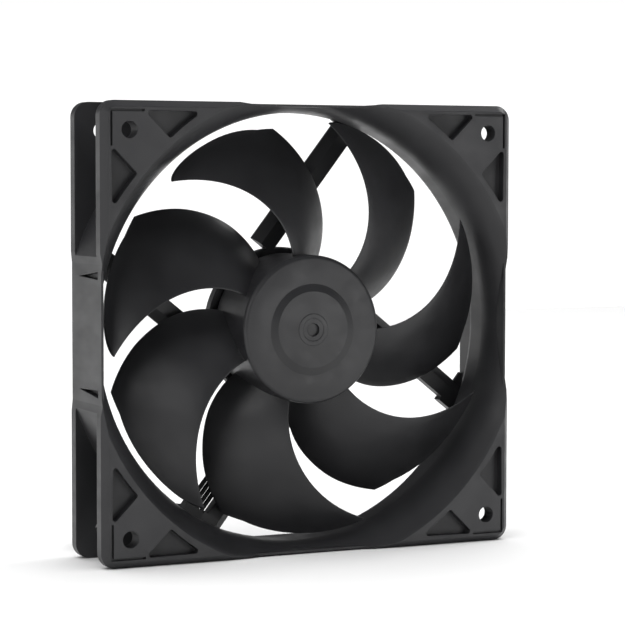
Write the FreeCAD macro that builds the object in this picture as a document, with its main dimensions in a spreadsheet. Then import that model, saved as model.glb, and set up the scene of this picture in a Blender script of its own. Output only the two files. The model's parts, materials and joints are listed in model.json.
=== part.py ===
import FreeCAD, Part
import math
import os

import Sketcher
from FreeCAD import Placement, Rotation, Vector

# A 120 mm axial case fan: open-corner square frame, swept impeller on a sleeve bearing, outer-rotor
# motor, and a four-core lead that is laid in a small coil behind the frame.
#
# Two frames are used. Most pieces are drawn in the fan's own axes: origin in the middle of the intake
# face, X right, Y up, Z along the shaft towards the intake side. FAN turns those axes so that the fan
# stands on its lower edge: origin under the middle of the frame, +Z up, intake facing -Y.

doc = FreeCAD.newDocument("CaseFan")

DIMENSIONS = [
    ("width", 120.0, "outside width and height of the frame"),
    ("depth", 25.0, "intake face to exhaust face"),
    ("corner_radius", 4.0, "outer corners"),
    ("edge_chamfer", 1.65, "outer edges of both faces"),
    ("flange", 4.6, "thickness of each corner flange"),
    ("hole_spacing", 105.0, "screw holes, centre to centre"),
    ("hole_radius", 2.2, "screw holes"),
    ("duct_outside", 63.1, "outer radius of the duct wall"),
    ("throat", 57.7, "inner radius of the duct"),
    ("intake_radius", 63.7, "mouth of the intake flare"),
    ("intake_length", 12.0, "axial length of the intake flare"),
    ("intake_bend", 15.0, "radius of the intake flare's section"),
    ("exhaust_start", 17.7, "depth at which the exhaust flare starts"),
    ("exhaust_bend", 3.0, "radius of the exhaust flare's section"),
    ("exhaust_radius", 63.8, "mouth of the exhaust flare"),
    ("wall_inside", 58.1, "inner face of the thin side walls, from the axis"),
    ("wall_half", 27.0, "half length of the thin side walls, inside the rear flange"),
    ("wall_root_half", 19.0, "half length of the same walls in front of the rear flange"),
    ("front_wall_inside", 58.95, "inner face of the thin walls beside the intake flare"),
    ("front_wall_top", 2.1, "edge of those walls, from the intake face"),
    ("waist", 0.45, "how far each side is drawn in at its middle"),
    ("waist_flat", 18.0, "half length of the drawn-in stretch"),
    ("waist_end", 21.0, "where the side is back to full width"),
    ("slot_depth", 1.5, "small slots at the ends of the side walls"),
    ("slot_width", 2.0, "small slots at the ends of the side walls, mouth"),
    ("slot_from", 14.2, "small slots at the ends of the side walls, from the middle of the side"),
    ("slot_point", 18.4, "pointed end of those slots, from the intake face"),
    ("pad_pocket", 2.4, "depth of the triangular corner pockets"),
    ("pocket_corner", 0.75, "rounded corners of those pockets"),
    ("pocket_arc", 65.3, "curved side of the triangular corner pockets, from the axis"),
    ("trench_inset", 2.55, "middle of the narrow groove, from the outside"),
    ("trench_start", 48.4, "end of the narrow groove, from the axis"),
    ("trench_width", 0.6, "narrow groove round each corner pad"),
    ("trench_depth", 0.8, "narrow groove round each corner pad"),
    ("base_radius", 21.4, "motor base"),
    ("base_depth", 22.0, "front face of the motor base, from the intake face"),
    ("spoke_near", 14.4, "near side of a spoke, from the axis"),
    ("spoke_far", 20.8, "far side of a spoke at the back"),
    ("spoke_crest", 18.3, "far side of a spoke at the front"),
    ("spoke_angle", 51.7, "direction of the first spoke, degrees"),
    ("root_step", 1.2, "how far the block at a spoke's root stands out beside it"),
    ("hub_radius", 19.8, "impeller hub"),
    ("hub_front", 1.6, "front face of the hub, from the intake face"),
    ("hub_back", 20.9, "open end of the hub, from the intake face"),
    ("hub_wall", 1.5, "wall of the hub's skirt"),
    ("hub_face", 1.8, "thickness of the hub's front"),
    ("blade_tip", 56.3, "blade tips"),
    ("blade_count", 7, "blades"),
    ("blade_middle", 11.5, "middle of the blades, from the intake face"),
    ("blade_rise", 14.3, "greatest axial height of a blade"),
    ("blade_highest", 36.0, "where a blade has that height, from the axis"),
    ("blade_span", 0.332, "half the angle that a blade covers, radians"),
    ("blade_sweep", 0.69, "forward sweep of the tips, radians"),
    ("blade_root_thick", 1.6, "thickness at the root, falling to 1 at the tip"),
    ("rotor_turn", 31.3, "resting angle of the impeller, degrees"),
    ("yoke_inside", 17.6, "bore of the steel yoke"),
    ("magnet_inside", 15.6, "bore of the ring magnet"),
    ("core_radius", 15.2, "stator core"),
    ("core_front", 9.5, "front of the stator core, from the intake face"),
    ("core_stack", 5.0, "height of the stator core"),
    ("tube_radius", 4.6, "bearing tube"),
    ("sleeve_radius", 3.6, "bearing sleeve"),
    ("shaft_radius", 1.5, "shaft"),
    ("shaft_gap", 0.03, "radial clearance of shaft in sleeve"),
    ("board_radius", 16.4, "circuit board"),
    ("board_front", 18.7, "front of the circuit board, from the intake face"),
    ("board_thick", 1.0, "circuit board"),
    ("wire_radius", 0.62, "insulated wires of the lead"),
    ("wire_pitch", 1.4, "spacing of the wires beside the spoke"),
    ("wire_first", 8.6, "first wire, from the axis"),
    ("wire_depth", 23.3, "wires beside the spoke, from the intake face"),
    ("cable_radius", 1.25, "four-core cable"),
    ("hank_run", 42.0, "straight runs of the folded cable"),
    ("hank_bend", 7.5, "bends of the folded cable, middle of the band of turns"),
    ("hank_band", 5.0, "width of the band of turns"),
    ("hank_height", 5.0, "height of the folded cable"),
    ("hank_angle", 21.4, "direction of the folded cable, degrees from straight back"),
]

sheet = doc.addObject("Spreadsheet::Sheet", "Dimensions")
for row, (alias, value, note) in enumerate(DIMENSIONS, start=1):
    sheet.set(f"A{row}", alias)
    sheet.set(f"B{row}", str(value))
    sheet.setAlias(f"B{row}", alias)
    sheet.set(f"C{row}", note)
doc.recompute()


class Size:
    """A length with both its number and the expression that binds it to the spreadsheet."""

    def __init__(self, value, text):
        self.value = value
        self.text = text

    def __add__(self, other):
        other = size(other)
        return Size(self.value + other.value, f"({self.text} + {other.text})")

    def __sub__(self, other):
        other = size(other)
        return Size(self.value - other.value, f"({self.text} - {other.text})")

    def __rsub__(self, other):
        return size(other) - self

    def __mul__(self, factor):
        return Size(self.value * factor, f"({self.text} * {factor:.6f})")

    def __neg__(self):
        return self * -1

    __radd__ = __add__
    __rmul__ = __mul__


def size(number):
    if isinstance(number, Size):
        return number
    return Size(float(number), f"({float(number):.4f})")


D = {alias: Size(value, f"Dimensions.{alias}") for alias, value, _ in DIMENSIONS}
FAN = Placement(
    Vector(0, -D["depth"].value / 2, D["width"].value / 2), Rotation(Vector(1, 0, 0), 90)
)
nodes = []


def bind(thing, name, amount):
    amount = size(amount)
    thing.setExpression(name, amount.text)


def keep(thing, label, placement=FAN):
    """Names a finished sub-part and puts it in its place in the standing fan."""
    thing.Label = label
    thing.Placement = placement
    nodes.append(thing)
    return thing


def new_body(name):
    return doc.addObject("PartDesign::Body", name)


def origin_plane(body, role):
    return next(f for f in body.Origin.OriginFeatures if f.Role == role)


def arc_middle(first, last, radius):
    """A point half way along the arc. A positive radius bulges to the right of the way along."""
    way = last - first
    half = way.Length / 2
    rise = abs(radius) - math.sqrt(radius * radius - half * half)
    side = Vector(way.y, -way.x, 0).normalize()
    return (first + last) * 0.5 + side * math.copysign(rise, radius)


def swung(turn, lift):
    swing = Rotation(Vector(0, 1, 0), turn)
    return Placement(swing.multVec(Vector(0, 0, lift)), swing)


def outline(body, name, plane, loops, lift=0.0, turn=0.0):
    """A fully constrained sketch. Each loop lists its corners as (x, y) or (x, y, radius), where the
    radius is that of an arc from this corner to the next. Turn swings the plane about its own Y."""
    sketch = body.newObject("Sketcher::SketchObject", name)
    sketch.AttachmentSupport = [(origin_plane(body, plane), "")]
    sketch.MapMode = "FlatFace"
    sketch.AttachmentOffset = swung(turn, size(lift).value)
    if isinstance(lift, Size) and turn == 0.0:
        sketch.setExpression("AttachmentOffset.Base.z", lift.text)
    for loop in loops:
        corners = [(size(c[0]), size(c[1])) for c in loop]
        points = [Vector(x.value, y.value, 0) for x, y in corners]
        first = sketch.GeometryCount
        for i, corner in enumerate(loop):
            here, there = points[i], points[(i + 1) % len(points)]
            if len(corner) == 3:
                middle = arc_middle(here, there, size(corner[2]).value)
                sketch.addGeometry(Part.Arc(here, middle, there), False)
            else:
                sketch.addGeometry(Part.LineSegment(here, there), False)
        ends = []
        for i in range(len(loop)):
            start = sketch.getPoint(first + i, 1)
            ends.append(1 if (start - points[i]).Length < 1e-6 else 2)
        for i in range(len(loop)):
            j = (i + 1) % len(loop)
            sketch.addConstraint(
                Sketcher.Constraint("Coincident", first + i, 3 - ends[i], first + j, ends[j])
            )
        for i, (x, y) in enumerate(corners):
            for kind, amount in (("DistanceX", x), ("DistanceY", y)):
                k = sketch.addConstraint(
                    Sketcher.Constraint(kind, -1, 1, first + i, ends[i], amount.value)
                )
                if "Dimensions" in amount.text:
                    sketch.setExpression(f"Constraints[{k}]", amount.text)
            if len(loop[i]) == 3:
                k = sketch.addConstraint(
                    Sketcher.Constraint("Radius", first + i, abs(size(loop[i][2]).value))
                )
    return sketch


def circles(body, name, plane, rings, lift=0.0):
    """A sketch of circles, each (x, y, radius)."""
    sketch = body.newObject("Sketcher::SketchObject", name)
    sketch.AttachmentSupport = [(origin_plane(body, plane), "")]
    sketch.MapMode = "FlatFace"
    sketch.AttachmentOffset = Placement(Vector(0, 0, size(lift).value), Rotation())
    if isinstance(lift, Size):
        sketch.setExpression("AttachmentOffset.Base.z", lift.text)
    for i, (x, y, radius) in enumerate(rings):
        x, y, radius = size(x), size(y), size(radius)
        sketch.addGeometry(Part.Circle(Vector(x.value, y.value, 0), Vector(0, 0, 1), radius.value), False)
        for kind, amount in (("DistanceX", x), ("DistanceY", y)):
            k = sketch.addConstraint(Sketcher.Constraint(kind, -1, 1, i, 3, amount.value))
            if "Dimensions" in amount.text:
                sketch.setExpression(f"Constraints[{k}]", amount.text)
        k = sketch.addConstraint(Sketcher.Constraint("Radius", i, radius.value))
        if "Dimensions" in radius.text:
            sketch.setExpression(f"Constraints[{k}]", radius.text)
    return sketch


def volume(body):
    doc.recompute()
    return body.Shape.Volume


def sweep_along(body, kind, sketch, amount, back=False):
    """A Pad or a Pocket. It checks that the solid grew or shrank as it should."""
    before = volume(body) if body.Tip else 0.0
    feature = body.newObject(f"PartDesign::{kind}", f"{kind}_{sketch.Name}")
    feature.Profile = sketch
    feature.Length = size(amount).value
    bind(feature, "Length", amount)
    feature.Reversed = back
    after = volume(body)
    grew = after > before + 1e-6
    if grew != (kind == "Pad"):
        raise ValueError(f"{feature.Name} went the wrong way: {before:.3f} to {after:.3f}")
    return feature


def turn_round(body, kind, sketch):
    """A Revolution or a Groove through a whole turn about the shaft axis."""
    before = volume(body) if body.Tip else 0.0
    feature = body.newObject(f"PartDesign::{kind}", f"{kind}_{sketch.Name}")
    feature.Profile = sketch
    feature.ReferenceAxis = (sketch, ["V_Axis"])
    feature.Angle = 360.0
    after = volume(body)
    if (after > before) != (kind == "Revolution"):
        raise ValueError(f"{feature.Name} went the wrong way: {before:.3f} to {after:.3f}")
    return feature


def round_the_axis(body, feature, count):
    """Copies of a feature, evenly round the shaft axis."""
    pattern = body.newObject("PartDesign::PolarPattern", f"Polar_{feature.Name}")
    pattern.Originals = [feature]
    pattern.Axis = (origin_plane(body, "Z_Axis"), [""])
    pattern.Angle = 360.0
    pattern.Occurrences = count
    body.Tip = pattern
    doc.recompute()
    return pattern


def turned(name, profile):
    """A body made by turning one closed profile, given as (radius, height), about the shaft axis."""
    body = new_body(name + "_body")
    turn_round(body, "Revolution", outline(body, name + "_profile", "XZ_Plane", [profile]))
    return body


def ring(name, inner, outer, back, front):
    """A plain ring or disc between two depths, both measured behind the intake face."""
    profile = [(inner, -back), (outer, -back), (outer, -front), (inner, -front)]
    return turned(name, profile)


def dress(body, kind, edges, amount):
    before = body.Tip
    feature = body.newObject(f"PartDesign::{kind}", f"{kind}_{body.Name}")
    feature.Base = (before, edges)
    name = "Radius" if kind == "Fillet" else "Size"
    bind(feature, name, amount)
    doc.recompute()
    return feature


def edges_where(shape, test):
    return [f"Edge{i}" for i, edge in enumerate(shape.Edges, start=1) if test(edge)]


def corner_copies(loop):
    """A loop repeated at the four corners of the square."""
    quarters = [loop]
    for _ in range(3):
        quarters.append([(-size(c[1]), size(c[0])) + tuple(c[2:]) for c in quarters[-1]])
    return quarters


def square(half):
    half = size(half)
    return [(half, half), (-half, half), (-half, -half), (half, -half)]


# ------------------------------------------------------------------ frame: housing with its spokes


def frame_body():
    body = new_body("frame")
    half = D["width"] * 0.5
    depth = D["depth"]
    sweep_along(body, "Pad", outline(body, "frame_square", "XY_Plane", [square(half)]), depth, back=True)

    corner = edges_where(body.Tip.Shape, lambda e: abs(e.Length - depth.value) < 0.01)
    dress(body, "Fillet", corner, D["corner_radius"])
    rims = edges_where(body.Tip.Shape, lambda e: e.BoundBox.ZLength < 0.01)
    dress(body, "Chamfer", rims, D["edge_chamfer"])

    open_corners = outline(body, "open_corners", "XY_Plane", [square(half + 5)], lift=-D["flange"])
    rim = open_corners.addGeometry(Part.Circle(Vector(), Vector(0, 0, 1), D["duct_outside"].value), False)
    open_corners.addConstraint(Sketcher.Constraint("Coincident", rim, 3, -1, 1))
    k = open_corners.addConstraint(Sketcher.Constraint("Radius", rim, D["duct_outside"].value))
    open_corners.setExpression(f"Constraints[{k}]", D["duct_outside"].text)
    sweep_along(body, "Pocket", open_corners, depth - D["flange"] * 2 - 0.1)

    bend = D["exhaust_bend"]
    knee = bend * math.sin(math.radians(45))
    flare_start = D["exhaust_start"]
    duct = [
        (0, 1),
        (0, -depth - 1),
        (D["exhaust_radius"] + 1, -depth - 1),
        (D["throat"] + bend - knee, -flare_start - knee, -bend),
        (D["throat"], -flare_start),
        (D["throat"], -D["intake_length"], -D["intake_bend"]),
        (D["intake_radius"], 0),
        (D["intake_radius"], 1),
    ]
    turn_round(body, "Groove", outline(body, "duct_profile", "XZ_Plane", [duct]))

    inside, flange_front = D["wall_inside"], -depth + D["flange"]
    wall = [
        (inside, -depth),
        (half - D["edge_chamfer"], -depth),
        (half, -depth + D["edge_chamfer"]),
        (half, flange_front),
        (inside, flange_front),
    ]
    foot = flange_front - 1
    root = [(inside, foot), (half, foot), (half, -flare_start), (inside, -flare_start)]
    for name, section, reach in (("wall", wall, D["wall_half"]), ("wall_root", root, D["wall_root_half"])):
        profile = outline(body, "thin_" + name, "XZ_Plane", [section], lift=-reach)
        round_the_axis(body, sweep_along(body, "Pad", profile, reach * 2), 4)

    front_inside, top = D["front_wall_inside"], -D["front_wall_top"]
    skin, foot = half - 0.2, size(-8.5)
    lip = [(front_inside, foot), (skin, foot), (skin, top), (front_inside, top)]
    reach = D["waist_flat"] - 0.5
    profile = outline(body, "intake_wall", "XZ_Plane", [lip], lift=-reach)
    round_the_axis(body, sweep_along(body, "Pad", profile, reach * 2), 4)

    waist = [
        (half + 1, -D["waist_end"]),
        (half + 1, D["waist_end"]),
        (half, D["waist_end"]),
        (half - D["waist"], D["waist_flat"]),
        (half - D["waist"], -D["waist_flat"]),
        (half, -D["waist_end"]),
    ]
    drawn_in = outline(body, "waist_sides", "XY_Plane", corner_copies(waist), lift=1.0)
    sweep_along(body, "Pocket", drawn_in, depth + 2)

    near, far = D["slot_from"], D["slot_from"] + D["slot_width"]
    tip = (near + 0.5, -D["slot_point"])
    slot = [(near, -D["flange"]), tip, (far, -D["flange"])]
    other = [(-size(x), z) for x, z in reversed(slot)]
    slots = outline(body, "side_slots", "YZ_Plane", [slot, other], lift=half)
    deep = D["slot_depth"] + D["waist"]
    round_the_axis(body, sweep_along(body, "Pocket", slots, deep), 4)

    screws = D["hole_spacing"] * 0.5
    holes = [(screws * i, screws * j, D["hole_radius"]) for i, j in ((1, 1), (-1, 1), (-1, -1), (1, -1))]
    sweep_along(body, "Pocket", circles(body, "screw_holes", "XY_Plane", holes, lift=1.0), depth + 2)

    rim = D["pocket_arc"]
    near_side, near_screw, on_rim = (57.3, 32.1), (57.5, 48.6), (50.35, 41.3)
    triangle = [near_side, near_screw, on_rim + (-rim,)]
    other = [near_side[::-1] + (-rim,), on_rim[::-1], near_screw[::-1]]
    loops = corner_copies(triangle) + corner_copies(other)
    pockets = outline(body, "pad_pockets", "XY_Plane", loops)
    sweep_along(body, "Pocket", pockets, D["pad_pocket"])
    upright = edges_where(
        body.Tip.Shape,
        lambda e: e.BoundBox.ZMax > -0.01 and abs(e.Length - D["pad_pocket"].value) < 0.001,
    )
    dress(body, "Fillet", upright, D["pocket_corner"])

    near = half - D["trench_inset"] - D["trench_width"] * 0.5
    far = near + D["trench_width"]
    end = D["trench_start"]
    trench = [(near, end), (far, end), (far, far), (end, far), (end, near), (near, near)]
    trenches = outline(body, "trenches", "XY_Plane", corner_copies(trench))
    sweep_along(body, "Pocket", trenches, D["trench_depth"])
    return body


def spokes_body():
    """Motor base with its four spokes and the small blocks at their roots."""
    body = new_body("spokes")
    depth = D["depth"]
    front = D["base_depth"]
    base = [
        (D["tube_radius"], -depth + 0.4),
        (17.2, -depth + 0.4),
        (17.2, -depth),
        (D["base_radius"], -depth),
        (D["base_radius"], -front - 0.4),
        (D["base_radius"] - 0.4, -front),
        (19.6, -front),
        (19.6, -front - 1.0),
        (7.2, -front - 1.0),
        (6.6, -front + 1.6),
        (D["tube_radius"], -front + 1.6),
    ]
    turn_round(body, "Revolution", outline(body, "base_profile", "XZ_Plane", [base]))

    turn = D["spoke_angle"].value + 90
    inner = size(14.0)
    section = [
        (D["spoke_near"], -depth),
        (D["spoke_far"], -depth),
        (D["spoke_far"], -depth + 0.7),
        (D["spoke_crest"], -front),
        (D["spoke_near"], -front),
    ]
    spoke = outline(body, "spoke_section", "XZ_Plane", [section], lift=inner, turn=turn)
    round_the_axis(body, sweep_along(body, "Pad", spoke, size(70) - inner), 4)

    near, far = D["spoke_near"] - D["root_step"], D["spoke_near"] + 1
    block = [(near, -depth), (far, -depth), (far, -front), (near, -front)]
    root = outline(body, "root_block", "XZ_Plane", [block], lift=53.0, turn=turn)
    round_the_axis(body, sweep_along(body, "Pad", root, 15), 4)

    near, far, top = D["spoke_far"] - 1, D["spoke_far"] + 3, -depth + 1
    gusset = [(near, -depth), (far, -depth), (far, top), (near, top)]
    foot = outline(body, "root_gusset", "XZ_Plane", [gusset], lift=54.5, turn=turn)
    round_the_axis(body, sweep_along(body, "Pad", foot, 15), 4)

    trim = outline(body, "spoke_trim", "XY_Plane", [square(100), square(58.3)], lift=0.0)
    sweep_along(body, "Pocket", trim, depth + 1)

    lead = D["spoke_angle"].value + 180 + 90
    first = D["wire_first"] - 1.0
    last = D["wire_first"] + D["wire_pitch"] * 3 + 0.9
    mouth = [(first, -depth - 1), (last, -depth - 1), (last, -front + 1), (first, -front + 1)]
    slot = outline(body, "lead_slot", "XZ_Plane", [mouth], lift=9.5, turn=lead)
    sweep_along(body, "Pocket", slot, 13.0, back=True)
    return body


def housing():
    frame, spokes = frame_body(), spokes_body()
    fuse = doc.addObject("Part::MultiFuse", "housing_fuse")
    fuse.Shapes = [frame, spokes]
    fuse.Refine = True
    doc.recompute()
    return keep(fuse, "housing")


# ------------------------------------------------------------------ impeller and the rest of the rotor


def blade_section(radius):
    """One closed airfoil across a blade. It lies in the plane square to its own radius."""
    root, tip = D["hub_radius"].value, D["blade_tip"].value
    out = max(0.0, (radius - root) / (tip - root))
    sweep = D["blade_sweep"].value * out**1.5
    outwards = Vector(math.cos(sweep), math.sin(sweep), 0)
    round_fan = Vector(-math.sin(sweep), math.cos(sweep), 0)
    half_chord = radius * math.tan(D["blade_span"].value)
    rise = D["blade_rise"].value - 0.009 * (radius - D["blade_highest"].value) ** 2
    camber = 0.08 * rise
    thick = D["blade_root_thick"].value + (1.0 - D["blade_root_thick"].value) * min(1.0, out)
    middle = -D["blade_middle"].value
    steps = 8
    edges = []
    for first in (0, steps):
        points = []
        for i in range(first, first + steps + 1):
            angle = math.pi * i / steps
            along = math.cos(angle)
            height = middle + rise / 2 * along + camber * (1 - along**2) + thick / 2 * math.sin(angle)
            points.append(outwards * radius + round_fan * (half_chord * along) + Vector(0, 0, height))
        face = Part.BSplineCurve()
        face.interpolate(Points=points, Parameters=[float(i) for i in range(len(points))])
        edges.append(face.toShape())
    return Part.Wire(edges)


def hub_body():
    """Front face with its raised middle, round edge and skirt."""
    front, back = -D["hub_front"], -D["hub_back"]
    outer = D["hub_radius"]
    inner = outer - D["hub_wall"]
    skin = front - D["hub_face"]
    bore, boss, edge = size(3.2), size(5.0), 1.15
    profile = [
        (bore, skin - 1.2),
        (boss, skin - 1.2),
        (boss, skin),
        (inner, skin),
        (inner, back),
        (outer, back),
        (outer, front - edge - 0.3, edge),
        (outer - edge, front - 0.3, 40.0),
        (12.2, front - 0.15),
        (10.2, front + 0.4),
        (4.3, front + 0.42),
        (4.2, front + 0.55),
        (3.1, front + 0.55),
        (3.0, front + 0.42),
        (1.75, front + 0.42),
        (1.75, front - 0.4),
        (0, front - 0.4),
        (0, front - 0.9),
        (bore, front - 0.9),
    ]
    return turned("hub", profile)


def impeller():
    hub = hub_body()
    reach = [
        (D["hub_radius"] - 0.9, -4.0),
        (D["hub_radius"] - 0.9, -18.5),
        (53.5, -18.5),
        (54.0, -15.5, 9.0),
        (54.9, -5.2),
        (54.0, -4.0),
    ]
    envelope = turned("blade_reach", reach)
    doc.recompute()
    radii = [17.0, 22.0, 28.0, 34.0, 40.0, 46.0, 52.0, 58.0]
    loft = Part.makeLoft([blade_section(r) for r in radii], True, False)
    blade = loft.common(envelope.Shape)
    count = int(D["blade_count"].value)
    blades = []
    for i in range(count):
        turned_blade = blade.copy()
        turned_blade.rotate(Vector(), Vector(0, 0, 1), D["rotor_turn"].value + 360.0 / count * i)
        blades.append(turned_blade)
    solid = doc.addObject("Part::Feature", "impeller_solid")
    solid.Shape = hub.Shape.multiFuse(blades).removeSplitter()
    return keep(solid, "impeller")


def rotor():
    impeller()
    face = D["hub_front"] + D["hub_face"]
    inner = D["hub_radius"] - D["hub_wall"]
    yoke = [
        (inner, -19.4),
        (inner, -face),
        (5.0, -face),
        (5.0, -face - 0.7),
        (D["yoke_inside"], -face - 0.7),
        (D["yoke_inside"], -19.4),
    ]
    keep(turned("rotor_yoke", yoke), "rotor_yoke")
    keep(ring("ring_magnet", D["magnet_inside"], D["yoke_inside"], size(17.4), size(5.2)), "ring_magnet")
    bush = [
        (D["shaft_radius"], -face - 3.0),
        (3.2, -face - 3.0),
        (3.2, -D["hub_front"] - 0.9),
        (D["shaft_radius"], -D["hub_front"] - 0.9),
    ]
    keep(turned("shaft_bushing", bush), "shaft_bushing")
    groove = 1.15
    shaft = [
        (0, -22.6),
        (1.2, -22.6),
        (D["shaft_radius"], -22.3),
        (D["shaft_radius"], -22.1),
        (groove, -22.1),
        (groove, -21.7),
        (D["shaft_radius"], -21.7),
        (D["shaft_radius"], -D["hub_front"] - 0.9),
        (0, -D["hub_front"] - 0.9),
    ]
    keep(turned("shaft", shaft), "shaft")
    keep(ring("retaining_clip", size(groove), size(2.5), size(22.08), size(21.72)), "retaining_clip")


# ------------------------------------------------------------------ bearing and motor on the housing


def bearing():
    tube = D["tube_radius"]
    bore = D["sleeve_radius"]
    keep(ring("bearing_tube", bore, tube, size(24.5), size(7.4)), "bearing_tube")
    hole = D["shaft_radius"] + D["shaft_gap"]
    sleeve = [
        (hole, -21.4),
        (bore, -21.4),
        (bore, -8.1),
        (hole + 0.5, -8.1),
        (hole, -8.6),
    ]
    keep(turned("bearing_sleeve", sleeve), "bearing_sleeve")
    keep(ring("oil_seal", size(1.9), bore, size(8.1), size(7.5)), "oil_seal")
    keep(ring("thrust_pad", size(0), bore, size(23.5), size(22.9)), "thrust_pad")
    keep(ring("end_cap", size(0), bore, size(24.5), size(23.5)), "end_cap")
    keep(ring("rear_disc", size(0), size(17.0), size(24.75), size(24.6)), "rear_disc")


def stator_core():
    """Four salient poles round the bearing tube."""
    body = new_body("stator_core")
    ring_radius, shoe, rim = size(7.6), size(13.6), D["core_radius"]
    half_tooth, spread = size(1.5), math.radians(38)
    quarter = [
        (7.45, -half_tooth),
        (13.517, -half_tooth, -shoe),
        (shoe * math.cos(spread), -shoe * math.sin(spread)),
        (rim * math.cos(spread), -rim * math.sin(spread), rim),
        (rim * math.cos(spread), rim * math.sin(spread)),
        (shoe * math.cos(spread), shoe * math.sin(spread), -shoe),
        (13.517, half_tooth),
        (7.45, half_tooth, ring_radius),
    ]
    star = sum(corner_copies(quarter), [])
    lamination = outline(body, "lamination", "XY_Plane", [star], lift=-D["core_front"])
    sweep_along(body, "Pad", lamination, D["core_stack"], back=True)
    bore = circles(body, "core_bore", "XY_Plane", [(0, 0, D["tube_radius"])], lift=-D["core_front"])
    sweep_along(body, "Pocket", bore, D["core_stack"])
    keep(body, "stator_core")


def insulator(label, face, way, legs):
    """Plastic end piece of the core. It lies on the face and builds up in the direction of way."""
    body = new_body(label)
    back = way < 0
    rings = circles(body, label + "_ring", "XY_Plane", [(0, 0, 7.4), (0, 0, D["tube_radius"])], lift=face)
    sweep_along(body, "Pad", rings, 1.5, back=back)
    strip = [(5.5, -1.7), (13.4, -1.7), (13.4, 1.7), (5.5, 1.7)]
    arm = outline(body, label + "_arm", "XY_Plane", [strip], lift=face)
    round_the_axis(body, sweep_along(body, "Pad", arm, 0.6, back=back), 4)
    lip = [(13.1, -3.4), (13.5, -3.4), (13.5, 3.4), (13.1, 3.4)]
    guard = outline(body, label + "_lip", "XY_Plane", [lip], lift=face + 0.3 * way)
    round_the_axis(body, sweep_along(body, "Pad", guard, 1.8, back=back), 4)
    if legs:
        foot = circles(body, label + "_leg", "XY_Plane", [(4.35, 4.35, 0.8)], lift=face + 1.2 * way)
        round_the_axis(body, sweep_along(body, "Pad", foot, legs, back=back), 4)
    keep(body, label)


def coils():
    """One winding round each pole, as the outer shape of its turns."""
    middle = -(D["core_front"] + D["core_stack"] * 0.5)
    start, length = 8.1, 4.9
    outside, inside = (3.3, 4.4), (1.75, 3.2)
    for i in range(4):
        body = new_body(f"coil_{i + 1}")
        loops = []
        for across, up in (outside, inside):
            high, low = middle + up, middle - up
            loops.append([(across, high), (-across, high), (-across, low), (across, low)])
        face = outline(body, f"coil_face_{i + 1}", "XZ_Plane", loops, lift=start, turn=90.0 * (i + 1))
        sweep_along(body, "Pad", face, length)
        corners = edges_where(
            body.Tip.Shape,
            lambda e: abs(e.Length - length) < 0.01 and abs(e.CenterOfMass.z - middle.value) > 4.0,
        )
        dress(body, "Fillet", corners, 1.1)
        keep(body, f"coil_{i + 1}")


def on_board(label, sizes, x, y, bottom, turn=0.0):
    """A small block-shaped part, its lower end at a height measured from the intake face."""
    box = doc.addObject("Part::Box", label + "_block")
    for name, amount in zip(("Length", "Width", "Height"), sizes):
        bind(box, name, amount)
    swing = Rotation(Vector(0, 0, 1), turn)
    corner = swing.multVec(Vector(-sizes[0] / 2, -sizes[1] / 2, 0)) + Vector(x, y, bottom)
    keep(box, label, FAN.multiply(Placement(corner, swing)))


def electronics():
    front = D["board_front"]
    back = front + D["board_thick"]
    keep(ring("circuit_board", D["tube_radius"] + 0.1, D["board_radius"], back, front), "circuit_board")
    on_board("hall_sensor", (4.0, 3.0, 0.9), 9.4, -9.4, -front.value, 45.0)
    on_board("driver_chip", (6.2, 5.0, 1.3), -4.0, 10.6, -back.value - 1.3)
    on_board("capacitor_1", (3.2, 1.6, 1.0), 6.5, 8.6, -back.value - 1.0, -30.0)
    on_board("capacitor_2", (2.0, 1.25, 0.8), 10.8, 3.0, -back.value - 0.8, 80.0)
    on_board("resistor", (2.0, 1.25, 0.5), 10.2, -4.0, -back.value - 0.5, 70.0)
    for i in range(3):
        angle = math.radians(45 + 90 * i)
        pin = doc.addObject("Part::Cylinder", f"winding_pin_{i + 1}_rod")
        bind(pin, "Radius", 0.35)
        bind(pin, "Height", 3.0)
        at = Vector(11.6 * math.cos(angle), 11.6 * math.sin(angle), -front.value)
        keep(pin, f"winding_pin_{i + 1}", FAN.multiply(Placement(at, Rotation())))


# ------------------------------------------------------------------ lead: wires, grommet, cable and plug


def tube(name, points, radius, round_share=0.45):
    """A round solid along straight runs joined by arcs that touch both of them."""
    pieces, bends, start = [], [], points[0]
    for before, here, after in zip(points, points[1:], points[2:]):
        come, leave = (here - before).normalize(), (after - here).normalize()
        reach = round_share * min((here - before).Length, (after - here).Length)
        half_turn = come.getAngle(leave) / 2
        bend = reach / math.tan(half_turn)
        bends.append(bend)
        towards = (leave - come).normalize()
        centre = here + towards * (bend / math.cos(half_turn))
        first, last = here - come * reach, here + leave * reach
        pieces.append(Part.LineSegment(start, first).toShape())
        pieces.append(Part.Arc(first, centre - towards * bend, last).toShape())
        start = last
    pieces.append(Part.LineSegment(start, points[-1]).toShape())
    spine = Part.Wire(pieces)
    way = points[1] - points[0]
    disc = Part.Wire([Part.Circle(points[0], way, size(radius).value).toShape()])
    solid = doc.addObject("Part::Feature", name + "_tube")
    solid.Shape = spine.makePipeShell([disc], True, True)
    expected = math.pi * size(radius).value ** 2 * spine.Length
    if abs(solid.Shape.Volume - expected) > 0.01 * expected:
        raise ValueError(f"{name} has volume {solid.Shape.Volume:.2f}, not {expected:.2f}")
    print(f"{name}: length {spine.Length:.1f}, bend radii", [round(bend, 1) for bend in bends])
    return solid


LEAD_ANGLE = D["spoke_angle"].value + 180.0
GROMMET_FROM, GROMMET_TO = 53.5, 58.5
GROMMET_BACK = 25.0
RELIEF = 8.0


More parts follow.
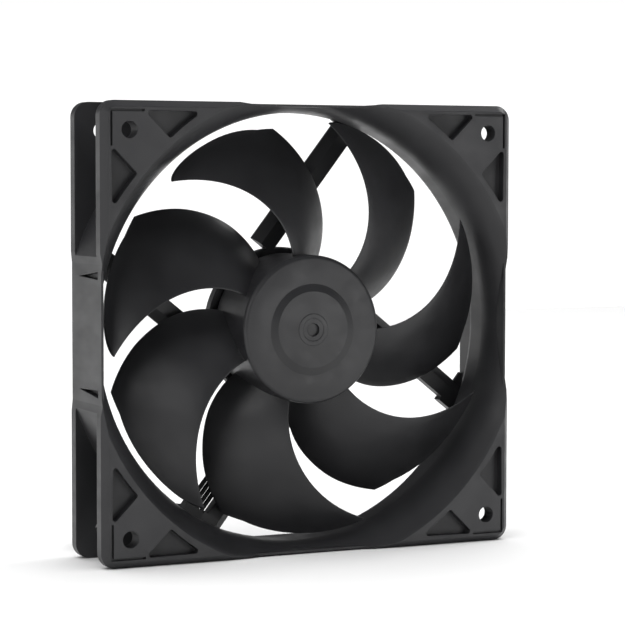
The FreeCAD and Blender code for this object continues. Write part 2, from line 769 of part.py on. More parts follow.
def beside_spoke(out, across, depth):
    """A point beside the spoke that carries the lead, in the fan's own axes."""
    swing = Rotation(Vector(0, 0, 1), LEAD_ANGLE)
    return swing.multVec(Vector(out, across, 0)) + Vector(0, 0, -depth)


def wires():
    board_back = (D["board_front"] + D["board_thick"]).value
    for i in range(4):
        across = (D["wire_first"] + D["wire_pitch"] * i).value
        route = [
            beside_spoke(7.2, across * 0.90, board_back + D["wire_radius"].value),
            beside_spoke(9.4, across * 0.93, board_back + D["wire_radius"].value),
            beside_spoke(12.6, across, D["wire_depth"].value),
            beside_spoke(GROMMET_FROM, across, D["wire_depth"].value),
        ]
        keep(tube(f"wire_{i + 1}", route, D["wire_radius"]), f"wire_{i + 1}")


def grommet():
    body = new_body("grommet")
    near, far = size(7.4), D["spoke_near"] - D["root_step"]
    face = [(near, -GROMMET_BACK), (far, -GROMMET_BACK), (far, -21.8), (near, -21.8)]
    turn = D["spoke_angle"].value + 270
    section = outline(body, "grommet_section", "XZ_Plane", [face], lift=GROMMET_FROM, turn=turn)
    sweep_along(body, "Pad", section, GROMMET_TO - GROMMET_FROM)
    upright = edges_where(body.Tip.Shape, lambda e: e.BoundBox.ZLength > 3)
    dress(body, "Fillet", upright, 0.5)
    keep(body, "grommet")


EXIT = FAN.multVec(beside_spoke(56.0, 10.3, GROMMET_BACK))
RELIEF_END = EXIT + Vector(0, RELIEF, 0)
HANK_MIDDLE = Vector(-26.0, 61.3, 0)
PLUG_ACROSS = -5.0
PLUG_FRONT = -45.5
HANK_SWING = Rotation(Vector(0, 0, 1), -D["hank_angle"].value)


def beside_hank(across, along, height):
    """A point given in the folded cable's own axes, with along pointing away from the fan."""
    return HANK_MIDDLE + HANK_SWING.multVec(Vector(across, along, height))


def stadium(half_run, bend):
    """A loop of two straight runs along Y with round ends."""
    return [
        (bend, -half_run),
        (bend, half_run, bend),
        (0, half_run + bend, bend),
        (-bend, half_run),
        (-bend, -half_run, bend),
        (0, -half_run - bend, bend),
    ]


def hank():
    body = new_body("hank")
    half_run = D["hank_run"] * 0.5
    outer = D["hank_bend"] + D["hank_band"] * 0.5
    inner = D["hank_bend"] - D["hank_band"] * 0.5
    loops = [stadium(half_run, outer), stadium(half_run, inner)]
    sweep_along(body, "Pad", outline(body, "hank_plan", "XY_Plane", loops), D["hank_height"])
    top = edges_where(body.Tip.Shape, lambda e: e.BoundBox.ZMin > D["hank_height"].value - 0.01)
    dress(body, "Fillet", top, 1.2)
    keep(body, "cable_hank", Placement(HANK_MIDDLE, HANK_SWING))

    tie = new_body("tie")
    strap = 0.5
    across = outer + strap
    height = D["hank_height"] + strap
    band = [
        [(across, 0), (across, height), (-across, height), (-across, 0)],
        [(outer, strap), (outer, D["hank_height"]), (-outer, D["hank_height"]), (-outer, strap)],
    ]
    sweep_along(tie, "Pad", outline(tie, "tie_section", "XZ_Plane", band, lift=-2.0), 4.0)
    keep(tie, "hank_tie", Placement(HANK_MIDDLE, HANK_SWING))


def upright_slot(middle, across, bottom, top):
    left, right = middle - across / 2, middle + across / 2
    return [(left, bottom), (right, bottom), (right, top), (left, top)]


def plug():
    """Four-way socket plug with two guide ribs and a slot for each contact."""
    body = new_body("plug")
    width, length, height = size(10.2), size(12.0), size(5.8)
    block = [(width * 0.5, 0), (width * 0.5, height), (width * -0.5, height), (width * -0.5, 0)]
    sweep_along(body, "Pad", outline(body, "plug_section", "XZ_Plane", [block]), length, back=True)
    pitch = 2.54
    low = 2.15
    places = [(i - 1.5) * pitch for i in range(4)]
    cavities = [upright_slot(x, 1.5, low, low + 1.5) for x in places]
    sweep_along(body, "Pocket", outline(body, "plug_cavities", "XZ_Plane", cavities), 9.0)
    keyways = [upright_slot(x, 1.2, height - 0.9, height + 1) for x in (-1.27, 3.0)]
    sweep_along(body, "Pocket", outline(body, "plug_keyways", "XZ_Plane", keyways), 7.0)
    front = beside_hank(PLUG_ACROSS, PLUG_FRONT, 0)
    keep(body, "plug_housing", Placement(front, HANK_SWING))
    for i, x in enumerate(places):
        contact = doc.addObject("Part::Box", f"contact_{i + 1}_block")
        blade = (1.1, 7.5, 1.2)
        for name, amount in zip(("Length", "Width", "Height"), blade):
            bind(contact, name, amount)
        at = front + HANK_SWING.multVec(Vector(x - blade[0] / 2, 1.2, low))
        keep(contact, f"contact_{i + 1}", Placement(at, HANK_SWING))


def cable():
    relief = doc.addObject("Part::Cone", "relief_cone")
    bind(relief, "Radius1", D["cable_radius"] + 1.0)
    bind(relief, "Radius2", D["cable_radius"] + 0.3)
    bind(relief, "Height", RELIEF)
    keep(relief, "strain_relief", Placement(EXIT, Rotation(Vector(1, 0, 0), -90)))
    half_run = D["hank_run"].value / 2
    bend = D["hank_bend"].value
    route = [
        RELIEF_END,
        RELIEF_END + Vector(0, 6.5, -1.3),
        beside_hank(bend, -half_run - 3.6, 4.2),
        beside_hank(bend, -half_run + 3.0, 3.75),
    ]
    keep(tube("cable_out", route, D["cable_radius"]), "cable_out", Placement())
    low = D["cable_radius"].value
    tail = [beside_hank(-bend - 0.9, -half_run - 3.5, low), beside_hank(PLUG_ACROSS, PLUG_FRONT + 12, 2.9)]
    keep(tube("cable_tail", tail, D["cable_radius"]), "cable_tail", Placement())


housing()
rotor()
bearing()
stator_core()
insulator("upper_insulator", -D["core_front"], 1, 0)
insulator("lower_insulator", -(D["core_front"] + D["core_stack"]), -1, 3.0)
coils()
electronics()
wires()
grommet()
hank()
plug()
cable()

doc.recompute()
for thing in doc.Objects:
    if "Invalid" in thing.State or "Error" in thing.State:
        raise ValueError(f"{thing.Name} did not build: {thing.State}")
os.makedirs("parts", exist_ok=True)
for node in nodes:
    if node.Shape.isNull() or not node.Shape.isValid() or len(node.Shape.Solids) != 1:
        raise ValueError(f"{node.Label} is not one valid solid")
    node.Shape.exportStep(f"parts/{node.Label}.step")
print(f"{len(nodes)} sub-parts written")
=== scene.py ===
import json
import math

import bmesh
import bpy
from mathutils import Matrix, Vector


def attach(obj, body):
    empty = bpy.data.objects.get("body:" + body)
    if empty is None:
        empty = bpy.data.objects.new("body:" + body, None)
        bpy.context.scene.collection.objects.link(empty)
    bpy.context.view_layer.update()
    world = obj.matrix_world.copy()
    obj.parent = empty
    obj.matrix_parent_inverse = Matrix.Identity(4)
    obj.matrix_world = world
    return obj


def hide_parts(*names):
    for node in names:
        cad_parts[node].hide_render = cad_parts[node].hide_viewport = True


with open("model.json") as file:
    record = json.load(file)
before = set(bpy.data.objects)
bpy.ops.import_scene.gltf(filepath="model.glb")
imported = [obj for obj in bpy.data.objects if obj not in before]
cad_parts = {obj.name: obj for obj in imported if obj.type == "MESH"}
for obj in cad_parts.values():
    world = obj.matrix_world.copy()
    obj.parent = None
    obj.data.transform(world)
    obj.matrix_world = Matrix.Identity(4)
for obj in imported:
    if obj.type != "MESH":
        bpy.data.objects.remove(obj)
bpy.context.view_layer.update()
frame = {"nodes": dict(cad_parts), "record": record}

# Metres in a millimetre. A size without it is in millimetres, unless its comment says metres.
MM = 0.001

nodes = frame["nodes"]
scene = bpy.context.scene

# ------------------------------------------------------------------ camera

# The eye is in metres, the angles in radians.
EYE = Vector((-0.26753, -0.56247, 0.10078))
YAW, PITCH, ROLL = -0.4515, -0.0590, 0.0016
SENSOR_WIDTH = 36.0
FOCAL_LENGTH = 133.2


def aim_camera():
    """A long lens, low and to the left of the intake side."""
    level = math.cos(PITCH)
    back = Vector((math.sin(YAW) * level, -math.cos(YAW) * level, -math.sin(PITCH)))
    right = Vector((math.cos(YAW), math.sin(YAW), 0))
    up = back.cross(right)
    turn = Matrix((right, up, back)).transposed().to_4x4() @ Matrix.Rotation(ROLL, 4, "Z")
    data = bpy.data.cameras.new("camera")
    data.sensor_width = SENSOR_WIDTH
    data.lens = FOCAL_LENGTH
    camera = bpy.data.objects.new("camera", data)
    camera.matrix_world = Matrix.Translation(EYE) @ turn
    scene.collection.objects.link(camera)
    scene.camera = camera


aim_camera()

# ------------------------------------------------------------------ the lead's cable, folded away behind

CABLE = 2.5 * MM
HANK_MIDDLE = Vector((-26.0, 61.3, 0)) * MM
HANK_TURN = Matrix.Rotation(math.radians(-21.4), 3, "Z")
# Half of a straight run, and the heights of a turn's middle line.
HALF_RUN = 21.0
ON_FLOOR, ON_TOP = 1.25, 3.6
RUN_STATIONS = (-14.0, 0.0, 14.0)
BEND_STEPS = 4
BEND_SLACK = 1 / math.cos(math.pi / 2 / BEND_STEPS)
RELIEF_LENGTH = 8.0
RELIEF_START = Vector((-26.625, 12.5, 9.668)) * MM
RELIEF_END = RELIEF_START + Vector((0, RELIEF_LENGTH, 0)) * MM


def beside_hank(across, along, height):
    """A point in the folded cable's own axes, given in millimetres."""
    return HANK_MIDDLE + HANK_TURN @ (Vector((across, along, height)) * MM)


def hank_turns():
    """Nearly three turns: one on top, then two side by side on the floor, the outer one last.

    A lap is its distance from the middle line and its height. A bend's points lie outside the bend by
    BEND_SLACK, because the spline runs inside its points.
    """
    laps = [(7.5, ON_TOP), (6.25, ON_FLOOR), (8.75, ON_FLOOR)]
    shares = [(i + 0.5) / BEND_STEPS for i in range(BEND_STEPS)]
    points = []
    for lap, (reach, height) in enumerate(laps):
        for along in RUN_STATIONS:
            points.append(beside_hank(reach, along, height))
        for share in shares:
            angle = math.pi * share
            out = reach * BEND_SLACK
            points.append(beside_hank(out * math.cos(angle), HALF_RUN + out * math.sin(angle), height))
        for along in reversed(RUN_STATIONS):
            points.append(beside_hank(-reach, along, height))
        if lap + 1 == len(laps):
            break
        next_reach, next_height = laps[lap + 1]
        for share in shares:
            angle = math.pi * (1 + share)
            ease_in, ease_out = share**2, 1 - (1 - share) ** 2
            out = (reach + (next_reach - reach) * ease_out) * BEND_SLACK
            rise = height + (next_height - height) * ease_in
            points.append(beside_hank(out * math.cos(angle), out * math.sin(angle) - HALF_RUN, rise))
    return points


def lead_route():
    """Centre line of the whole cable, from the strain relief to the plug."""
    way_out = [
        RELIEF_END,
        RELIEF_END + Vector((0, 6.5, -1.3)) * MM,
        beside_hank(7.5, -24.6, 4.2),
    ]
    way_in = [
        beside_hank(-8.7, -22.0, ON_FLOOR),
        beside_hank(-7.6, -27.0, 1.5),
        beside_hank(-5.6, -31.0, 2.6),
        beside_hank(-5.0, -33.5, 2.9),
    ]
    return way_out + hank_turns() + way_in


def add_curve(name, points, diameter, resolution=12, bevel_resolution=6):
    """A round tube along one open NURBS spline. The bevel is 1, so a point's radius is the tube's own."""
    data = bpy.data.curves.new(name, "CURVE")
    data.dimensions = "3D"
    data.bevel_depth = 1.0
    data.bevel_resolution = bevel_resolution
    data.resolution_u = resolution
    data.use_fill_caps = True
    spline = data.splines.new("NURBS")
    spline.points.add(len(points) - 1)
    for point, place in zip(spline.points, points):
        point.co = (*place, 1)
        point.radius = diameter / 2
    spline.order_u = 3
    spline.use_endpoint_u = True
    piece = bpy.data.objects.new(name, data)
    scene.collection.objects.link(piece)
    return piece


cable = add_curve("lead_cable", lead_route(), CABLE)
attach(cable, "frame")
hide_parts("cable_out", "cable_hank", "cable_tail")

# ------------------------------------------------------------------ materials


class Shader:
    """A node material being put together."""

    def __init__(self, name):
        self.material = bpy.data.materials.new(name)
        self.material.use_nodes = True
        self.tree = self.material.node_tree
        self.surface = self.tree.nodes["Principled BSDF"]
        self.place = self.add("ShaderNodeTexCoord").outputs["Object"]

    def add(self, kind, **settings):
        node = self.tree.nodes.new(kind)
        for key, value in settings.items():
            setattr(node, key, value)
        return node

    def link(self, output, target):
        self.tree.links.new(output, target)

    def noise(self, scale, detail=4.0, roughness=0.6, stretch=None):
        node = self.add("ShaderNodeTexNoise")
        node.inputs["Scale"].default_value = scale
        node.inputs["Detail"].default_value = detail
        node.inputs["Roughness"].default_value = roughness
        source = self.place
        if stretch:
            mapping = self.add("ShaderNodeMapping")
            mapping.inputs["Scale"].default_value = stretch
            self.link(self.place, mapping.inputs["Vector"])
            source = mapping.outputs["Vector"]
        self.link(source, node.inputs["Vector"])
        return node.outputs["Fac"]

    def span(self, source, low, high, start=0.0, end=1.0):
        node = self.add("ShaderNodeMapRange")
        node.inputs["From Min"].default_value = start
        node.inputs["From Max"].default_value = end
        node.inputs["To Min"].default_value = low
        node.inputs["To Max"].default_value = high
        self.link(source, node.inputs["Value"])
        return node.outputs["Result"]

    def bump(self, height, distance, strength, onto=None):
        node = self.add("ShaderNodeBump")
        node.inputs["Strength"].default_value = strength
        node.inputs["Distance"].default_value = distance
        self.link(height, node.inputs["Height"])
        if onto:
            self.link(onto, node.inputs["Normal"])
        return node.outputs["Normal"]

    def soft_edges(self, radius):
        node = self.add("ShaderNodeBevel", samples=4)
        node.inputs["Radius"].default_value = radius
        return node.outputs["Normal"]

    def edge_share(self):
        """How far the surface stands out as an edge, from 0 to 1."""
        flat, sharp = 0.51, 0.58
        node = self.add("ShaderNodeNewGeometry")
        return self.span(node.outputs["Pointiness"], 0.0, 1.0, flat, sharp)

    def cover(self, colour, roughness, normal):
        """Link the colour, roughness and normal of the finished surface."""
        self.link(colour, self.surface.inputs["Base Color"])
        self.link(roughness, self.surface.inputs["Roughness"])
        self.link(normal, self.surface.inputs["Normal"])
        return self.material


def blend_colour(shader, share, first, second):
    """A mix of two colours, each a plain colour or the output of another node."""
    node = shader.add("ShaderNodeMix", data_type="RGBA")
    factor, *_ = [s for s in node.inputs if s.name == "Factor" and s.type == "VALUE"]
    shader.link(share, factor)
    slots = [s for s in node.inputs if s.type == "RGBA"]
    for socket, colour in zip(slots, (first, second)):
        if isinstance(colour, (tuple, list)):
            socket.default_value = (*colour, 1)
        else:
            shader.link(colour, socket)
    return next(s for s in node.outputs if s.type == "RGBA")


def moulded_plastic(name, colour, rough, grain=0.012):
    """Moulded plastic: fine spark-eroded grain, faint flow marks, and paler, softly rounded edges."""
    edge, wear = 0.25, 0.35
    shader = Shader(name)
    cloud = shader.noise(28.0, detail=3.0)
    pores = shader.noise(2600.0, detail=3.0, roughness=0.7)
    flow = shader.noise(160.0, detail=2.0, stretch=(1.0, 0.35, 1.0))
    edges = shader.edge_share()
    dull = tuple(c * 0.8 for c in colour)
    bright = tuple(min(1.0, c * 1.25 + 0.002) for c in colour)
    worn = tuple(min(1.0, c * (1 + wear) + 0.006) for c in colour)
    tone = blend_colour(shader, shader.span(cloud, 0.0, 1.0, 0.35, 0.65), dull, bright)
    tone = blend_colour(shader, edges, tone, worn)
    gloss = shader.span(flow, rough - 0.06, rough + 0.07, 0.3, 0.7)
    shader.surface.inputs["Specular IOR Level"].default_value = 0.45
    soft = shader.soft_edges(edge * MM)
    fine = shader.bump(pores, grain * MM, 0.6, onto=soft)
    return shader.cover(tone, gloss, shader.bump(flow, grain * MM * 2, 0.25, onto=fine))


def metal(name, colour, rough, stretch=(1.0, 1.0, 1.0), brush=900.0):
    """Machined or drawn metal: fine lines along the working direction and slight tarnish."""
    edge = 0.08
    shader = Shader(name)
    lines = shader.noise(brush, detail=5.0, stretch=stretch)
    tarnish = shader.noise(220.0, detail=4.0)
    dark = tuple(c * 0.72 for c in colour)
    tone = blend_colour(shader, shader.span(tarnish, 0.0, 1.0, 0.35, 0.7), colour, dark)
    gloss = shader.span(lines, rough - 0.07, rough + 0.1, 0.3, 0.7)
    shader.surface.inputs["Metallic"].default_value = 1.0
    soft = shader.soft_edges(edge * MM)
    return shader.cover(tone, gloss, shader.bump(lines, 0.004 * MM, 0.5, onto=soft))


def rubber(name, colour, rough):
    """Soft vinyl or rubber: dull, with a fine skin and faint handling marks."""
    shader = Shader(name)
    marks = shader.noise(120.0, detail=5.0)
    skin = shader.noise(1800.0, detail=2.0)
    pale = tuple(min(1.0, c * 1.6 + 0.004) for c in colour)
    tone = blend_colour(shader, shader.span(marks, 0.0, 1.0, 0.45, 0.75), colour, pale)
    gloss = shader.span(marks, rough - 0.08, rough + 0.1, 0.3, 0.7)
    return shader.cover(tone, gloss, shader.bump(skin, 0.02 * MM, 0.4))


def braided_sleeve():
    """Woven polyester sleeve over the four wires: two families of threads that cross."""
    shader = Shader("braided_sleeve")
    waves = []
    for lean in (1.0, -1.0):
        mapping = shader.add("ShaderNodeMapping")
        mapping.inputs["Rotation"].default_value = (0.6 * lean, 0.8 * lean, 0.75 * lean)
        shader.link(shader.place, mapping.inputs["Vector"])
        wave = shader.add("ShaderNodeTexWave")
        wave.inputs["Scale"].default_value = 480.0
        wave.inputs["Distortion"].default_value = 0.6
        shader.link(mapping.outputs["Vector"], wave.inputs["Vector"])
        waves.append(wave.outputs["Fac"])
    weave = shader.add("ShaderNodeMath", operation="MAXIMUM")
    shader.link(waves[0], weave.inputs[0])
    shader.link(waves[1], weave.inputs[1])
    threads = weave.outputs[0]
    tone = blend_colour(shader, threads, (0.006, 0.006, 0.007), (0.03, 0.03, 0.032))
    gloss = shader.span(threads, 0.75, 0.45)
    return shader.cover(tone, gloss, shader.bump(threads, 0.08 * MM, 0.7))


def solder_mask():
    """Green lacquer over copper tracks."""
    shader = Shader("solder_mask")
    cells = shader.add("ShaderNodeTexVoronoi", feature="DISTANCE_TO_EDGE")
    cells.inputs["Scale"].default_value = 420.0
    shader.link(shader.place, cells.inputs["Vector"])
    tracks = shader.span(cells.outputs["Distance"], 0.0, 1.0, 0.05, 0.09)
    tone = blend_colour(shader, tracks, (0.012, 0.06, 0.025), (0.03, 0.16, 0.07))
    gloss = shader.span(shader.noise(300.0), 0.2, 0.4)
    return shader.cover(tone, gloss, shader.bump(tracks, 0.03 * MM, 0.5))


def printed_disc():
    """Plain dark label of coated paper."""
    shader = Shader("printed_disc")
    fibre = shader.noise(1500.0, detail=5.0)
    tone = blend_colour(shader, fibre, (0.018, 0.018, 0.02), (0.032, 0.032, 0.035))
    gloss = shader.span(fibre, 0.32, 0.5)
    return shader.cover(tone, gloss, shader.bump(fibre, 0.01 * MM, 0.4))


def enamelled_copper():
    """Copper wire under clear enamel."""
    shader = Shader("enamelled_copper")
    marks = shader.noise(700.0, detail=4.0)
    tone = blend_colour(shader, marks, (0.42, 0.13, 0.05), (0.62, 0.24, 0.1))
    gloss = shader.span(marks, 0.2, 0.34)
    shader.surface.inputs["Metallic"].default_value = 0.9
    shader.surface.inputs["Coat Weight"].default_value = 0.5
    return shader.cover(tone, gloss, shader.bump(marks, 0.01 * MM, 0.3))


FAN_BLACK = (0.0165, 0.0165, 0.018)

MATERIALS = {
    "black_frame": moulded_plastic("black_frame", FAN_BLACK, 0.45),
    "black_impeller": moulded_plastic("black_impeller", FAN_BLACK, 0.38),
    "plated_steel": metal("plated_steel", (0.55, 0.55, 0.57), 0.32, (1, 6, 1)),
    "ferrite": moulded_plastic("ferrite", (0.05, 0.046, 0.042), 0.62, grain=0.02),
    "brass": metal("brass", (0.72, 0.55, 0.26), 0.3, (1, 8, 1)),
    "bronze": metal("bronze", (0.5, 0.32, 0.17), 0.48, (1, 1, 1), brush=1500.0),
    "ground_steel": metal("ground_steel", (0.68, 0.68, 0.7), 0.16, (1, 10, 1)),
    "nylon": moulded_plastic("nylon", (0.72, 0.7, 0.63), 0.45),
    "seal_rubber": rubber("seal_rubber", (0.02, 0.02, 0.02), 0.6),
    "dark_label": printed_disc(),
    "core_steel": metal("core_steel", (0.3, 0.31, 0.33), 0.42, (1, 30, 1), brush=300.0),
    "board_green": solder_mask(),
    "chip_black": moulded_plastic("chip_black", (0.02, 0.02, 0.021), 0.55, grain=0.02),
    "capacitor_tan": moulded_plastic("capacitor_tan", (0.36, 0.23, 0.12), 0.4),
    "soft_black": rubber("soft_black", (0.014, 0.014, 0.015), 0.55),
    "cable_jacket": braided_sleeve(),
    "tie_black": moulded_plastic("tie_black", (0.02, 0.02, 0.021), 0.4),
    "plug_black": moulded_plastic("plug_black", (0.016, 0.016, 0.017), 0.34),
    "copper_wire": enamelled_copper(),
    "tinned_pin": metal("tinned_pin", (0.7, 0.7, 0.68), 0.25),
    "wire_jacket": rubber("wire_jacket", (0.012, 0.012, 0.013), 0.4),
    "contact_metal": metal("contact_metal", (0.72, 0.6, 0.34), 0.24),
}


def paint(piece, slot_name):
    piece.data.materials.clear()
    piece.data.materials.append(MATERIALS[slot_name])


for part in frame["record"]["subparts"]:
    for place in nodes[part["node"]].material_slots:
        place.material = MATERIALS[part["material_slot"]]
paint(cable, "cable_jacket")

# ------------------------------------------------------------------ shapes

SHARP_EDGE = 40


def add_mesh(name, mesh, slot_name):
    """Turns a bmesh into a painted piece of the frame, smooth except at sharp edges."""
    data = bpy.data.meshes.new(name)
    bmesh.ops.recalc_face_normals(mesh, faces=mesh.faces)
    mesh.to_mesh(data)
    mesh.free()
    for face in data.polygons:
        face.use_smooth = True
    data.set_sharp_from_angle(angle=math.radians(SHARP_EDGE))
    piece = bpy.data.objects.new(name, data)
    scene.collection.objects.link(piece)
    paint(piece, slot_name)
    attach(piece, "frame")
    return piece


def bridge(mesh, near, far):
    """Faces between two rings with the same number of points."""
    for i in range(len(near)):
        j = (i + 1) % len(near)
        mesh.faces.new((near[i], near[j], far[j], far[i]))


def lathe(profile, steps, place):
    """A closed profile of (radius, along) turned about the local Z, then put in place by a matrix."""
    mesh = bmesh.new()
    rings = []
    for radius, along in profile:
        ring = []
        for i in range(steps):
            angle = 2 * math.pi * i / steps
            point = Vector((radius * math.cos(angle), radius * math.sin(angle), along)) * MM
            ring.append(mesh.verts.new(place @ point))
        rings.append(ring)
    for near, far in zip(rings, rings[1:]):
        bridge(mesh, near, far)
    mesh.faces.new(list(reversed(rings[0])))
    mesh.faces.new(rings[-1])
    return mesh


def rounded_block(low, high, bevel):
    """A block with rounded edges, its corners given in millimetres."""
    mesh = bmesh.new()
    bmesh.ops.create_cube(mesh, size=1.0)
    low, high = Vector(low) * MM, Vector(high) * MM
    for vert in mesh.verts:
        vert.co = Vector(low[k] + (vert.co[k] + 0.5) * (high[k] - low[k]) for k in range(3))
    edges = list(mesh.edges)
    bmesh.ops.bevel(mesh, geom=edges, offset=bevel * MM, segments=3, profile=0.5, affect="EDGES")
    return mesh


def shift(mesh, matrix):
    """Moves a whole mesh by a matrix."""
    bmesh.ops.transform(mesh, matrix=matrix, verts=mesh.verts)
    return mesh


# ------------------------------------------------------------------ pieces of the lead


def strain_relief():
    """Tapered sleeve with moulded ribs, plain at both ends."""
    wide_end, thin_end = 2.2, 1.5
    ribs, groove = 5, 0.28
    groove_start, groove_end = 0.55, 0.95
    plain_start, plain_end = 0.6, 0.5
    steps, sides = 40, 32
    profile = []
    for i in range(steps + 1):
        along = RELIEF_LENGTH * i / steps
        radius = wide_end + (thin_end - wide_end) * (along / RELIEF_LENGTH)
        in_rib = (along / RELIEF_LENGTH * ribs) % 1.0
        between_ends = plain_start < along < RELIEF_LENGTH - plain_end
        if between_ends and groove_start < in_rib < groove_end:
            radius -= groove
        profile.append((radius, along))
    turn = Matrix.Translation(RELIEF_START) @ Matrix.Rotation(math.radians(-90), 4, "X")
    piece = add_mesh("ribbed_relief", lathe(profile, sides, turn), "soft_black")
    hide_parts("strain_relief")


# The room inside the strap, as half its width and its height, then the radius of the strap's bends.
TIE_REACH, TIE_HEIGHT = 10.0, 5.0
TIE_BEND = 1.6
# The strap's thickness and half its width.
STRAP = 0.5
STRAP_HALF = 2.0


def strap_path():
    """The outside of the strap, bend by bend, as across, height and the direction outwards."""
    far = TIE_REACH + STRAP - TIE_BEND
    top = TIE_HEIGHT + STRAP - TIE_BEND
    middles = [(far, TIE_BEND), (far, top), (-far, top), (-far, TIE_BEND)]
    step = 15
    path = []
    for i, (across, height) in enumerate(middles):
        for turned in range(0, 91, step):
            angle = math.radians(90 * (i - 1) + turned)
            out_x, out_z = math.cos(angle), math.sin(angle)
            path.append((across + TIE_BEND * out_x, height + TIE_BEND * out_z, out_x, out_z))
    return path


def strap_section():
    """The strap's section with broken edges, as depth under its outside and place along the cable."""
    thin, narrow = 0.12, 0.3
    half = [
        (STRAP, STRAP_HALF - narrow),
        (STRAP - thin, STRAP_HALF),
        (thin, STRAP_HALF),
        (0.0, STRAP_HALF - narrow),
    ]
    return [(depth, -along) for depth, along in half] + list(reversed(half))


def hank_tie():
    """Flat strap round the folded cable, with its head on top and a short cut tail."""
    turn = Matrix.Translation(HANK_MIDDLE) @ HANK_TURN.to_4x4()
    mesh = bmesh.new()
    rings = []
    for across, height, out_x, out_z in strap_path():
        ring = []
        for depth, along in strap_section():
            point = Vector((across - out_x * depth, along, height - out_z * depth)) * MM
            ring.append(mesh.verts.new(point))
        rings.append(ring)
    for near, far in zip(rings, rings[1:] + rings[:1]):
        bridge(mesh, near, far)
    strap = add_mesh("tie_strap", shift(mesh, turn), "tie_black")
    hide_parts("hank_tie")
    block = rounded_block((-2.6, -2.6, TIE_HEIGHT - 0.2), (2.6, 2.6, TIE_HEIGHT + 1.9), 0.5)
    head = add_mesh("tie_head", shift(block, turn), "tie_black")
    block = rounded_block((2.4, -1.8, TIE_HEIGHT + 0.6), (5.2, 1.8, TIE_HEIGHT + 1.3), 0.3)
    tail = add_mesh("tie_tail", shift(block, turn), "tie_black")
    return [strap, head, tail]


strain_relief()
tie_pieces = hank_tie()

# ------------------------------------------------------------------ motor windings

AXIS = Vector((0, 0, 60)) * MM
COILS = 4
WIRE = 0.42
LAYERS, TURNS, TURN_STEPS = 3, 11, 12
# Half the first layer's size across the tooth and along the shaft.
FIRST_LAYER = (1.98, 3.42)
SQUARENESS = 6
# Where a coil begins from the shaft's axis, how far it goes out, and its place along the shaft.
COIL_START, COIL_LENGTH = 8.4, 4.3
COIL_SHIFT = -0.5


def tooth_place(angle):
    """Axes of one tooth: local X across it, local Y along the shaft to the back, local Z outwards."""
    out = Vector((math.cos(angle), 0, math.sin(angle)))
    across = Vector((-math.sin(angle), 0, math.cos(angle)))
    back = Vector((0, 1, 0))
    return Matrix.Translation(AXIS) @ Matrix((across, back, out)).transposed().to_4x4()


def wound_wire():
    """Centre line of one coil's wire: layers of turns, each turn a rounded rectangle round the tooth."""
    points = []
    steps = TURNS * TURN_STEPS
    for layer in range(LAYERS):
        wide, tall = (reach + WIRE * layer for reach in FIRST_LAYER)
        for k in range(steps):
            share = k / steps
            if layer % 2:
                share = 1 - share
            angle = 2 * math.pi * k / TURN_STEPS
            cos, sin = math.cos(angle), math.sin(angle)
            corner = (abs(cos) ** SQUARENESS + abs(sin) ** SQUARENESS) ** (-1 / SQUARENESS)
            height = COIL_START + COIL_LENGTH * share
            points.append(Vector((wide * corner * cos, COIL_SHIFT + tall * corner * sin, height)) * MM)
    return points


def windings():
    """One wound wire in place of each plain coil."""
    for i in range(COILS):
        place = tooth_place(math.tau * i / COILS)
        points = [place @ point for point in wound_wire()]
        coil = add_curve(f"winding_{i + 1}", points, WIRE * MM, resolution=2, bevel_resolution=2)
        paint(coil, "copper_wire")
        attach(coil, "frame")
        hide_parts(f"coil_{i + 1}")


windings()

# ------------------------------------------------------------------ floor and light

# Half the floor's side, in metres.
FLOOR_HALF = 0.95
# The backdrop's middle, behind the fan, and strengths as shares of the white.
WHITE_SIDE = Vector((0.0, 1.0, 0.0))
BACKDROP = 1.15
DIM_OVERHEAD = 0.05
DIM_SIDE = 0.5


def lay_floor():
    """A plain pale floor that ends where the white backdrop begins."""
    data = bpy.data.meshes.new("floor")
    mesh = bmesh.new()
    bmesh.ops.create_grid(mesh, x_segments=1, y_segments=1, size=FLOOR_HALF)
    mesh.to_mesh(data)
    mesh.free()
    floor = bpy.data.objects.new("floor", data)
    scene.collection.objects.link(floor)
    shader = Shader("pale_floor")
    tone = blend_colour(shader, shader.noise(3.0), (0.80, 0.80, 0.80), (0.82, 0.82, 0.82))
    shader.link(tone, shader.surface.inputs["Base Color"])
    shader.surface.inputs["Roughness"].default_value = 0.8
    shader.surface.inputs["Specular IOR Level"].default_value = 0.1
    floor.data.materials.append(shader.material)


def soft_light(name, place, target, size, power, in_gloss=True):
    """A rectangular softbox. Without gloss it only lifts the floor and the matt colours."""
    data = bpy.data.lights.new(name, "AREA")
    data.shape = "RECTANGLE"
    data.size, data.size_y = size
    data.energy = power
    light = bpy.data.objects.new(name, data)
    light.location = place
    way = Vector(target) - Vector(place)
    light.rotation_euler = way.to_track_quat("-Z", "Y").to_euler()
    light.visible_glossy = in_gloss
    scene.collection.objects.link(light)


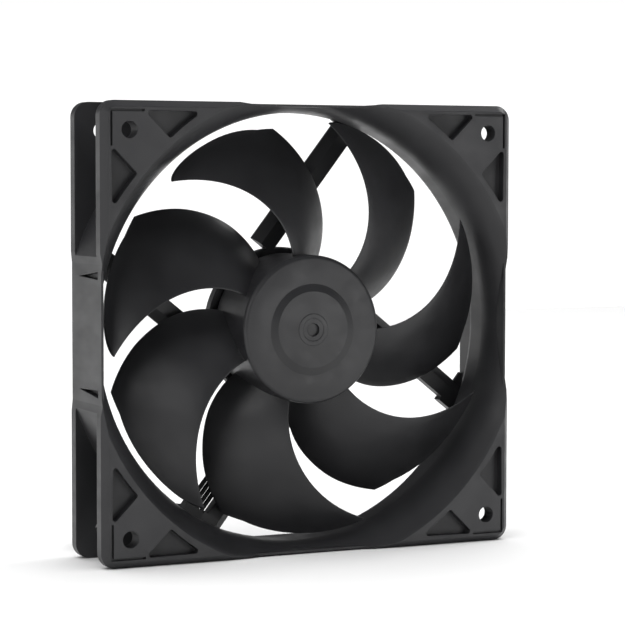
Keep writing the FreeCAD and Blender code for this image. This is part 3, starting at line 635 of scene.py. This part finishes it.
def fade(tree, source, start, end, low, high):
    """A node that goes smoothly from low to high while the source goes from start to end."""
    node = tree.nodes.new("ShaderNodeMapRange")
    node.interpolation_type = "SMOOTHSTEP"
    tree.links.new(source, node.inputs["Value"])
    for socket, value in zip(("From Min", "From Max", "To Min", "To Max"), (start, end, low, high)):
        node.inputs[socket].default_value = value
    return node.outputs["Result"]


def studio_world():
    """White at the horizon, dim overhead and on the side that faces the front of the fan."""
    world = bpy.data.worlds.new("studio")
    world.use_nodes = True
    tree = world.node_tree
    backdrop = tree.nodes["Background"]
    where = tree.nodes.new("ShaderNodeTexCoord")
    split = tree.nodes.new("ShaderNodeSeparateXYZ")
    tree.links.new(where.outputs["Generated"], split.inputs["Vector"])
    height = fade(tree, split.outputs["Z"], 0.02, 0.25, 1.0, DIM_OVERHEAD)
    facing = tree.nodes.new("ShaderNodeVectorMath")
    facing.operation = "DOT_PRODUCT"
    tree.links.new(where.outputs["Generated"], facing.inputs[0])
    facing.inputs[1].default_value = WHITE_SIDE
    side = fade(tree, facing.outputs["Value"], -0.5, 0.15, DIM_SIDE, 1.0)
    both = tree.nodes.new("ShaderNodeMath")
    both.operation = "MULTIPLY"
    tree.links.new(height, both.inputs[0])
    tree.links.new(side, both.inputs[1])
    tree.links.new(both.outputs["Value"], backdrop.inputs["Strength"])
    backdrop.inputs["Color"].default_value = (BACKDROP, BACKDROP, BACKDROP, 1)
    scene.world = world


def light_studio():
    """A soft main light from the left, two small ones on the right and a wide one over the floor.

    Places and sizes are in metres, powers in watts.
    """
    middle = AXIS
    soft_light("main_left", (-0.75, -0.55, 0.45), middle, (0.4, 0.4), 1.6)
    soft_light("front_low", (0.62, -1.0, 0.03), middle, (0.55, 0.2), 1.7)
    soft_light("top_right", (0.72, 0.11, 0.68), middle, (0.25, 0.25), 2.2)
    soft_light("floor_lift", (0.0, 0.3, 1.6), (0, 0.3, 0), (3.0, 3.0), 72.0, in_gloss=False)


scene.view_settings.view_transform = "Standard"
lay_floor()
studio_world()
light_studio()
